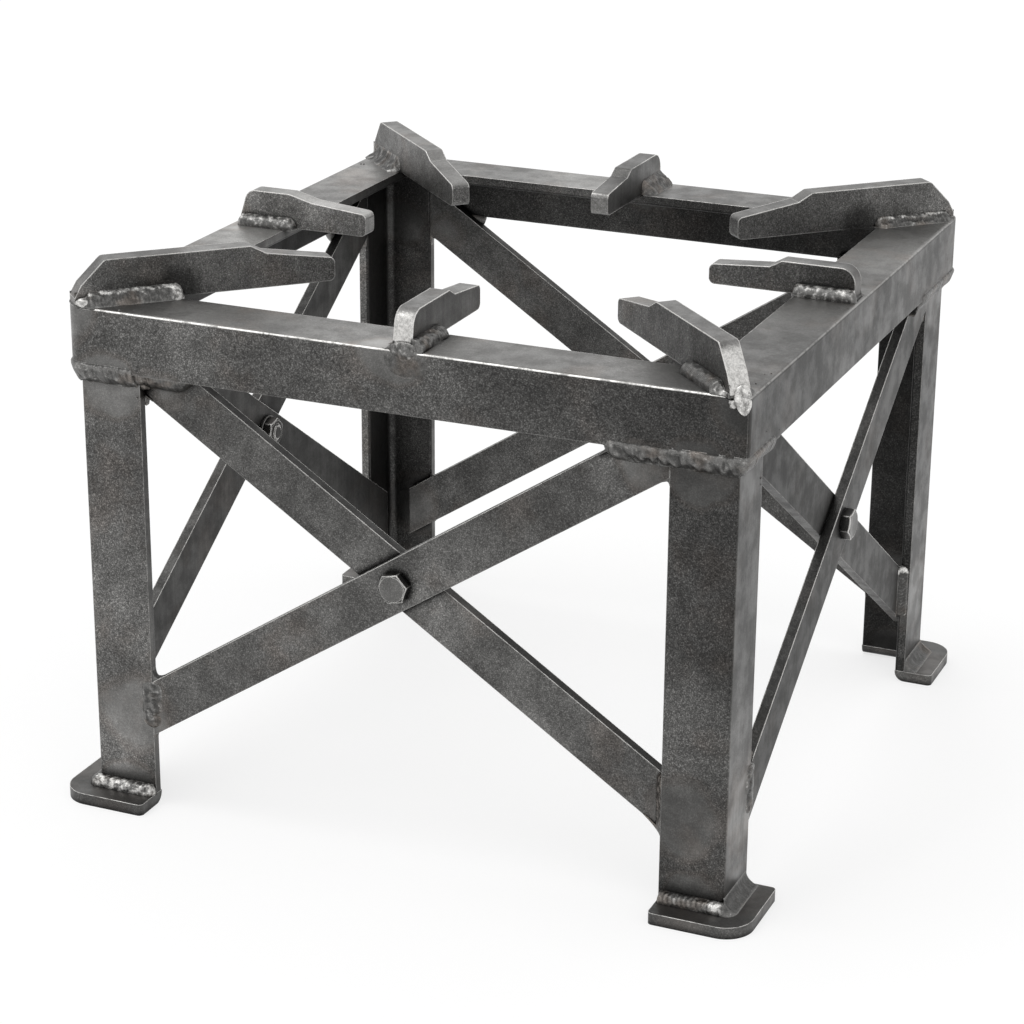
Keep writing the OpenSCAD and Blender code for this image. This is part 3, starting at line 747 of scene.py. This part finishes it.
def drop(mesh, place_in, centre, reach, seed, shine=0.2):
    """A lumpy drop, half sunk into the steel. reach is its half size along the three axes."""
    rings = []
    for i in range(1, DROP_RINGS):
        polar = math.pi * i / DROP_RINGS
        ring = []
        for j in range(DROP_SIDES):
            turn = 2 * math.pi * j / DROP_SIDES
            wide = math.sin(polar)
            way = Vector((wide * math.cos(turn), wide * math.sin(turn), math.cos(polar)))
            lumpy = 1 + 0.35 * noise.noise(way * 1.3 + Vector((seed, 0, 0)))
            lumpy += 0.12 * noise.noise(way * 4 + Vector((seed, 5, 0)))
            ring.append(place_in @ (centre + way * Vector(reach) * lumpy))
        rings.append(ring)
    mesh.tube(rings, [[shine] * DROP_SIDES] * len(rings))


# --- Beads of the feet and under the ring ----------------------------------------------------------

FOOT_SECTIONS = (
    (sized(ROUND, 5.6, 5.6), sized(ROUND, 6.0, 5.8)),
    (sized(ROUND, 5.8, 5.6), sized(HOLLOW, 8.0, 8.0)),
    (sized(HOLLOW, 8.0, 8.0), sized(ROUND, 5.6, 5.6)),
    (sized(HOLLOW, 7.0, 7.0), sized(ROUND, 5.6, 5.6)),
)
FOOT_LOOKS = ((ROUGH, CHEVRONS), (SCALLOPS, SMOOTH), (SMOOTH, SCALLOPS), (SMOOTH, SCALLOPS))
FOOT_KNOTS = ((), ((34, 6),), (), ())


def foot_bead(k):
    """Bead round the leg's outer faces on its foot."""
    mesh = Mesh()
    points = [(STOCK, TOE, FOOT_TOP), (STOCK, STOCK, FOOT_TOP), (TOE, STOCK, FOOT_TOP)]
    weld(mesh, corner(k), points, [(-1, 0, 0), (0, -1, 0)], UP, FOOT_SECTIONS[k], FOOT_LOOKS[k],
         SEEDS["foot"] + k, (2, 2), knots=FOOT_KNOTS[k])
    mesh.piece(f"bead_foot_{CORNERS[k]}", f"weld_foot_{CORNERS[k]}")


def over_brace(k):
    """How far the bead under the ring runs on past the seam, over the outer brace's high end."""
    cover = 6 * MM
    return SEAM - (RAIL_BOTTOM - cover - mid_z(k, OUTER) - upright_half(k, OUTER)) / slope(k, OUTER)


def ledge(k, place, out):
    """Distance from a place at corner k outward to the ring's rounded outline, in its corner frame."""
    radius = RING_RADIUS[k]
    width = min([p / -o for p, o in ((place.x, out.x), (place.y, out.y)) if o < -1e-6], default=1.0)
    edge = place + out * width
    if edge.x < radius and edge.y < radius:
        from_centre = Vector((place.x - radius, place.y - radius))
        along = from_centre.x * out.x + from_centre.y * out.y
        width = -along + math.sqrt(max(0.0, along ** 2 - from_centre.length_squared + radius ** 2))
    return width


RING_SECTION = ((6.35, -3.2), (7.65, -2.0), (7.0, 0.8), (5.6, 4.2), (3.0, 7.0), (1.0, 8.6), (0, 9.6))
RING_LOOKS = ((ROUGH, RAGGED), (LUMPS, FLUTES), (FLUTES, ROUGH), (ROUGH, FLUTES))


def ring_bead(k):
    """Bead under the ring round the leg, running on over the high ends of the outer braces."""
    mesh = Mesh()
    before = (k + 3) % 4
    first = 0.0 if FLIPPED[before] else over_brace(before)
    last = over_brace(k) if FLIPPED[k] else 0.0
    flat = ((STOCK, TOE + first), (STOCK, STOCK), (TOE + last, STOCK))
    points = [(x, y, RAIL_BOTTOM) for x, y in flat]
    ends = (10 if first else 2, 10 if last else 2)
    weld(mesh, corner(k), points, [(-1, 0, 0), (0, -1, 0)], DOWN, [RING_SECTION] * 2, RING_LOOKS[k],
         SEEDS["ring"] + k, ends, fit=lambda place, out: (ledge(k, place, out) / STOCK, 1.0))
    mesh.piece(f"bead_ring_{CORNERS[k]}", f"weld_ring_{CORNERS[k]}")


# --- Beads of the pot bars -------------------------------------------------------------------------

# Sections of metal that ran down over the ring's edge, at the front bar and at the front right one
FLOW = ((1.9, -6), (2.5, -4.5), (2.8, -2), (2.6, 0.4), (1.8, 2.4), (0, 4.6))
APRON = ((1.7, -15), (2.15, -12), (2.35, -7), (2.3, -4), (2.0, -2.6), (1.5, -1.8))
CORNER_FLOW = ((4.2, -9), (5.2, -7), (5.3, -3), (4.2, 0), (2.6, 2.4), (0, 6))
ROOM_LEFT = 0.4 * MM     # what a bead leaves free of the ledge beside a bar's end

# Beads round the outer end of each corner bar: their sections and looks on its left side, its end and its
# right side seen from the corner, how much further they run on both sides, and their knots: distance along
# the bead and reach, in mm
CORNER_BAR_SECTIONS = (
    (sized(FLAT, 6, 6), sized(ROUND, 3.2, 1.5), sized(FLAT, 7.5, 8)),
    (sized(ROUND, 6.5, 6.5), sized(ROUND, 2, 2), sized(FLAT, 5, 5)),
    (sized(FLAT, 6.5, 6), sized(ROUND, 3, 1.5), sized(FLAT, 6, 6)),
    (sized(FLAT, 5, 5), sized(ROUND, 3, 2), sized(HOLLOW, 8.5, 9)),
)
CORNER_BAR_LOOKS = (
    (ROUGH, ROUGH, RIDGED), (FINE, ROUGH, FINE), (RIDGED, ROUGH, ROUGH), (SMOOTH, SMOOTH, RAGGED),
)
CORNER_BAR_MORE = ((0, 9 * MM), (-4 * MM, 0), (5 * MM, 0), (0, 0))
CORNER_BAR_KNOTS = (((131, 6),), ((45, 6),), (), ((128, 4),))


def bar_run(set_by, start, ends, axis):
    """Ends of the three stretches round a pot bar's outer end: along one side, over the end, back along the
    other. axis tells which coordinate runs along the bar."""
    flat = [(ends[0], set_by + BAR_HALF), (start, set_by + BAR_HALF), (start, set_by - BAR_HALF),
            (ends[1], set_by - BAR_HALF)]
    if axis == "x":
        return [(a, b, RING_TOP) for a, b in flat], [(0, 1, 0), (-1, 0, 0), (0, -1, 0)]
    return [(b, a, RING_TOP) for a, b in flat], [(1, 0, 0), (0, -1, 0), (-1, 0, 0)]


def flow(mesh, place_in, axis, set_by, start, section, look, width, seed):
    """Weld metal that runs down over the ring's edge from a pot bar's outer end."""
    ends = [(start, set_by + width / 2), (start, set_by - width / 2)]
    points = [(a, b, RING_TOP) if axis == "x" else (b, a, RING_TOP) for a, b in ends]
    out = (-1, 0, 0) if axis == "x" else (0, -1, 0)
    weld(mesh, place_in, points, [out], UP, [section], [look], seed, (width / MM / 2,) * 2)


def corner_bar_bead(k):
    """Bead round a corner bar. The front left one has a knob, the front right one a run and a ball."""
    mesh = Mesh()
    inner_edge = RAIL_WIDTH * math.sqrt(2) + BAR_HALF
    more = CORNER_BAR_MORE[k]
    eighth = Matrix.Rotation(math.pi / 4, 3, "Z")

    def room(place, out):
        wanted = (7 * abs(out.y) + 3 * abs(out.x)) * MM
        share = min(1.0, max(0.12, (ledge(k, eighth @ place, eighth @ out) - ROOM_LEFT) / wanted))
        return share, max(0.3, share)

    points, outs = bar_run(CORNER_BAR_SET[k], CORNER_BAR_FROM[k], [inner_edge + m for m in more], "x")
    weld(mesh, diagonal(k), points, outs, UP, CORNER_BAR_SECTIONS[k], CORNER_BAR_LOOKS[k],
         SEEDS["corner_bar"] + k, (5, 5), 3, knots=CORNER_BAR_KNOTS[k], fit=room)
    if k == 0:
        knob = Vector((12.5 * MM, -8 * MM, RING_TOP + 1.5 * MM))
        drop(mesh, diagonal(k), knob, (6.5 * MM, 2.8 * MM, 3.2 * MM), SEEDS["knob"], 0.9)
    if k == 1:
        set_by = CORNER_BAR_SET[k] - 1.5 * MM
        flow(mesh, diagonal(k), "x", set_by, CORNER_BAR_FROM[k], CORNER_FLOW, BRIGHT, 10 * MM,
             SEEDS["corner_flow"])
        ball = Vector((194.5 * MM, 0, 301 * MM))
        drop(mesh, side(0), ball, (2.8 * MM, 1.6 * MM, 2.8 * MM), SEEDS["ball"], 0.5)
    mesh.piece(f"bead_bar_{CORNERS[k]}", f"weld_bar_{CORNERS[k]}")


# The same for the mid-side bars: right side, end, left side seen from outside. The beads start further in by
# the inset, and run on past the rail's inner edge by the last number.
SIDE_BAR_SECTIONS = (
    (sized(ROUND, 6.5, 6.5), sized(ROUND, 1.4, 2), sized(HOLLOW, 6, 4.5)),
    (sized(HOLLOW, 5, 4), sized(ROUND, 1.5, 2), sized(ROUND, 6.5, 6.5)),
    (sized(FLAT, 6, 6), sized(ROUND, 3, 3), sized(FLAT, 9, 9)),
    (sized(ROUND, 6.5, 6.5), sized(ROUND, 1.2, 2), sized(ROUND, 6, 6)),
)
SIDE_BAR_LOOKS = (
    (MOUND, ROUGH, ROUGH), (FINE, ROUGH, SILVER), (ROUGH, ROUGH, MOUND), (SILVER, ROUGH, SILVER),
)
SIDE_BEAD_INSET = (0, 0, 0, 3.5 * MM)
SIDE_BAR_TO = (-0.5 * MM, 2.5 * MM, 0, 5.5 * MM)


def side_bar_bead(k):
    """Bead round a mid-side bar. The front one has metal that ran down over the rail's edge."""
    mesh = Mesh()

    def room(place, out):
        wanted = max(6.5 * MM * abs(out.y), 1e-6)
        share = min(1.0, (SIDE_BAR_FROM[k] - ROOM_LEFT) / wanted)
        return share, max(0.5, share)

    start = SIDE_BAR_FROM[k] + SIDE_BEAD_INSET[k]
    points, outs = bar_run(SIDE_BAR_SET[k], start, [RAIL_WIDTH + SIDE_BAR_TO[k]] * 2, "y")
    weld(mesh, side(k), points, outs, UP, SIDE_BAR_SECTIONS[k], SIDE_BAR_LOOKS[k], SEEDS["side_bar"] + k,
         (4, 4), 3, fit=room)
    if k == 0:
        set_by, start = SIDE_BAR_SET[k], SIDE_BAR_FROM[k]
        flow(mesh, side(k), "y", set_by + 1 * MM, start, FLOW, RAGGED, 18 * MM, SEEDS["flow"])
        flow(mesh, side(k), "y", set_by + 3 * MM, start, APRON, BLENDED, 38 * MM, SEEDS["apron"])
    mesh.piece(f"bead_bar_{SIDES[k]}", f"weld_bar_{SIDES[k]}")


# --- Beads of the braces ---------------------------------------------------------------------------

BUTT_SECTION = ((6.5, 0), (4, 0.5), (2, 1.1), (0, 1.4), (-2, 1.1), (-4, 0.5), (-6.5, 0))
FILL_SECTION = ((10.8, -0.3), (10.2, 3.0), (7.6, 6.2), (4.0, 8.8), (0, 11))
WEB_SHAPE = ((1, 0), (0.55, 0.09), (0.24, 0.24), (0.09, 0.55), (0, 1))
WEB_SKIN = 0.5 * MM      # how far a fillet stays behind the faces of the outer braces
WEB_SINK = 1 * MM        # how far one at the inner braces reaches outward past them


def butt_beads():
    """Low caps over the seams at the outer braces' low ends."""
    mesh = Mesh()
    for k in range(4):
        middle, half = low_z(k, OUTER), upright_half(k, OUTER)
        points = [(-SEAM, STOCK, middle - half + 5 * MM), (-SEAM, STOCK, middle + half)]
        inside = ((-6.5 * MM, -SINK), (6.5 * MM, -SINK))
        weld(mesh, braces(k), points, [(1, 0, 0)], (0, -1, 0), [BUTT_SECTION], [LUMPS], SEEDS["butt"] + k,
             (4, 4), back=inside)
    mesh.piece("bead_brace_butt", "weld_brace_butt")


def corner_beads():
    """Upright beads between the leg's edge and the inner brace's low end. The right side's ends in a knot."""
    mesh = Mesh()
    for k in range(4):
        middle, half = low_z(k, INNER), upright_half(k, INNER)
        points = [(SEAM, 2 * STOCK, middle - half), (SEAM, 2 * STOCK, middle + half + 2 * MM)]
        look, section, knots = ROUGH, sized(FLAT, 5, 5), ()
        if k == 1:
            look, section = CHEVRONS._replace(shine=0.1), sized(HOLLOW, 5.5, 5.5)
            knots = ((2 * half / MM, 4),)
        weld(mesh, braces(k), points, [(-1, 0, 0)], (0, -1, 0), [section], [look], SEEDS["brace_corner"] + k,
             (4, 4), knots=knots)
    mesh.piece("bead_brace_corner", "weld_brace_corner")


def fill_beads():
    """Beads between the ring and the inner braces' high ends, and short upright ones down the leg's edge."""
    mesh = Mesh()
    for k in range(4):
        reach = (RAIL_BOTTOM - 3 * MM - mid_z(k, INNER) - upright_half(k, INNER)) / slope(k, INNER)
        points = [(-SEAM - 4 * MM, 2 * STOCK, RAIL_BOTTOM), (-reach, 2 * STOCK, RAIL_BOTTOM)]
        inside = ((-SINK, 10 * MM), (-SINK, -4 * MM), (6 * MM, -4 * MM), (6 * MM, -SINK))
        weld(mesh, braces(k), points, [(0, -1, 0)], DOWN, [FILL_SECTION], [ROUGH], SEEDS["fill"] + k, (0, 16),
             back=inside)
        points = [(-SEAM, 2 * STOCK, RAIL_BOTTOM), (-SEAM, 2 * STOCK, RAIL_BOTTOM - 12 * MM)]
        weld(mesh, braces(k), points, [(1, 0, 0)], (0, -1, 0), [sized(FLAT, 6, 5.5)], [ROUGH],
             SEEDS["fill_down"] + k, (0, 5))
    mesh.piece("bead_brace_fill", "weld_brace_fill")


def web(mesh, place_in, x, z, directions, size, inward, depth, seed):
    """Rounded fillet in the corner at (x, z) between two edges of plates, as deep as the plates."""
    first, second = (Vector((math.cos(a), 0, math.sin(a))) for a in map(math.radians, directions))
    points = [(x, inward, z), (x, inward + depth, z)]
    weld(mesh, place_in, points, [first], second, [sized(WEB_SHAPE, size, size)], [SMOOTH], seed, (1, 1))


def webs(k):
    """Fillets of weld metal where the braces of side k meet the legs and the ring."""
    mesh, place_in = Mesh(), braces(k)
    rise = math.degrees(math.atan(slope(k, OUTER)))
    fall = math.degrees(math.atan(slope(k, INNER)))
    outer, inner, depth = STOCK + WEB_SKIN, 2 * STOCK - WEB_SINK, STOCK - 2 * WEB_SKIN
    seed = SEEDS["web"]
    half, low = upright_half(k, OUTER), low_z(k, OUTER)
    web(mesh, place_in, -SEAM, low + half, (90, rise), 9, outer, depth, seed)
    web(mesh, place_in, -SEAM, low - half, (-90, rise), 3, outer, depth, seed + 1)
    web(mesh, place_in, SEAM, high_z(k, OUTER) - half, (-90, 180 + rise), 8, outer, depth, seed + 2)
    if k < 2:
        meets = (RAIL_BOTTOM - mid_z(k, OUTER) - half) / slope(k, OUTER)
        web(mesh, place_in, meets, RAIL_BOTTOM, (180, 180 + rise), 15, 1.5 * MM, 10 * MM, seed + 3)
    half, low = upright_half(k, INNER), low_z(k, INNER)
    if k == 0:
        web(mesh, place_in, SEAM, low - half, (-90, 180 - fall), 15, inner, depth, seed + 5)
    web(mesh, place_in, -SEAM, high_z(k, INNER) - half, (-90, -fall), 6, inner, depth, seed + 6)
    mesh.piece(f"weld_webs_{SIDES[k]}")


def spatter():
    """Small drops of weld metal, stuck to the faces near the beads."""
    mesh, draw = Mesh(), random.Random(SEEDS["spatter"])
    for k in range(4):
        for n in range(SPATTER_DROPS):
            along = draw.uniform(STOCK + 6 * MM, 2.2 * FLANGE)
            if n % 3 == 0:
                at = Vector((along, draw.uniform(2 * MM, 8 * MM), RING_TOP))
            elif n % 3 == 1:
                at = Vector((along, 0, RAIL_BOTTOM + draw.uniform(3 * MM, 14 * MM)))
            else:
                at = Vector((min(along, TOE - 2 * MM), STOCK, RAIL_BOTTOM - draw.uniform(14 * MM, 40 * MM)))
            drop(mesh, corner(k), at, (draw.uniform(0.25 * MM, 0.6 * MM),) * 3, draw.uniform(0, 50))
    mesh.piece("weld_spatter")


for k in range(4):
    foot_bead(k)
    ring_bead(k)
    corner_bar_bead(k)
    side_bar_bead(k)
    webs(k)
butt_beads()
corner_beads()
fill_beads()
spatter()


# --- Floor, light and camera -----------------------------------------------------------------------

DOME = 0.8               # light from all round
KEY = 0.7                # light from high on the left and behind, which draws the soft shadow
KEY_SPREAD = 35          # its width in degrees
KEY_TOWARDS = (0.35, 0.1, -1.0)
FLOOR_HALF = 9.0
FLOOR_GLOW = 1.05        # the floor's own light where it is seen, and its share there
FLOOR_SHARE = 0.68
WHITE = (1, 1, 1, 1)

# The photograph's camera: place in metres, turn and roll in degrees, lens and sensor width in mm
CAMERA_PLACE = (0.63117, -1.50605, 0.75603)
CAMERA_AZIMUTH, CAMERA_ELEVATION, CAMERA_ROLL = 23.224, 20.594, 0.408
CAMERA_LENS = 99.67
CAMERA_SENSOR = 36


def seen_or_mirrored(g):
    """1 for what the camera sees directly, in a reflection or through glass, 0 for light on the object."""
    path = g.node("LightPath")
    seen = g.math("MAXIMUM", path.outputs["Is Camera Ray"], path.outputs["Is Glossy Ray"])
    return g.math("MAXIMUM", seen, path.outputs["Is Transmission Ray"])


def floor():
    """White floor. Where it is seen, two thirds of its white is its own, which keeps the shadow light."""
    data = bpy.data.meshes.new("floor")
    corners = [(x * FLOOR_HALF, y * FLOOR_HALF, 0) for x, y in ((-1, -1), (1, -1), (1, 1), (-1, 1))]
    data.from_pydata(corners, [], [(0, 1, 2, 3)])
    made = add("floor", data)
    g = Graph(bpy.data.materials.new("floor_white"))
    lit = g.node("BsdfDiffuse", {"Color": WHITE}).outputs[0]
    own = g.node("Emission", {"Color": WHITE, "Strength": FLOOR_GLOW}).outputs[0]
    share = g.math("MULTIPLY", seen_or_mirrored(g), FLOOR_SHARE)
    dress(made, g.finish(g.node("MixShader", {0: share, 1: lit, 2: own}).outputs[0]))


def world():
    """Even light from all round, seen as plain white."""
    g = Graph(bpy.data.worlds.new("studio"))
    strength = g.math("ADD", DOME, g.math("MULTIPLY", seen_or_mirrored(g), 1 - DOME))
    back = g.node("Background", {"Color": WHITE, "Strength": strength})
    bpy.context.scene.world = g.finish(back.outputs[0], "OutputWorld")


def key_light():
    data = bpy.data.lights.new("key", "SUN")
    data.energy = KEY
    data.angle = math.radians(KEY_SPREAD)
    add("key", data).rotation_euler = Vector(KEY_TOWARDS).to_track_quat("-Z", "Y").to_euler()


def camera():
    azimuth, elevation, roll = map(math.radians, (CAMERA_AZIMUTH, CAMERA_ELEVATION, CAMERA_ROLL))
    level = math.cos(elevation)
    back = Vector((math.sin(azimuth) * level, -math.cos(azimuth) * level, math.sin(elevation)))
    right = UP.cross(back).normalized()
    above = back.cross(right)
    x = right * math.cos(roll) + above * math.sin(roll)
    y = above * math.cos(roll) - right * math.sin(roll)
    data = bpy.data.cameras.new("camera")
    data.sensor_width = CAMERA_SENSOR
    data.lens = CAMERA_LENS
    made = add("camera", data)
    made.matrix_world = Matrix.Translation(CAMERA_PLACE) @ Matrix((x, y, back)).transposed().to_4x4()
    bpy.context.scene.camera = made


floor()
world()
key_light()
camera()
bpy.context.scene.view_settings.view_transform = "Standard"
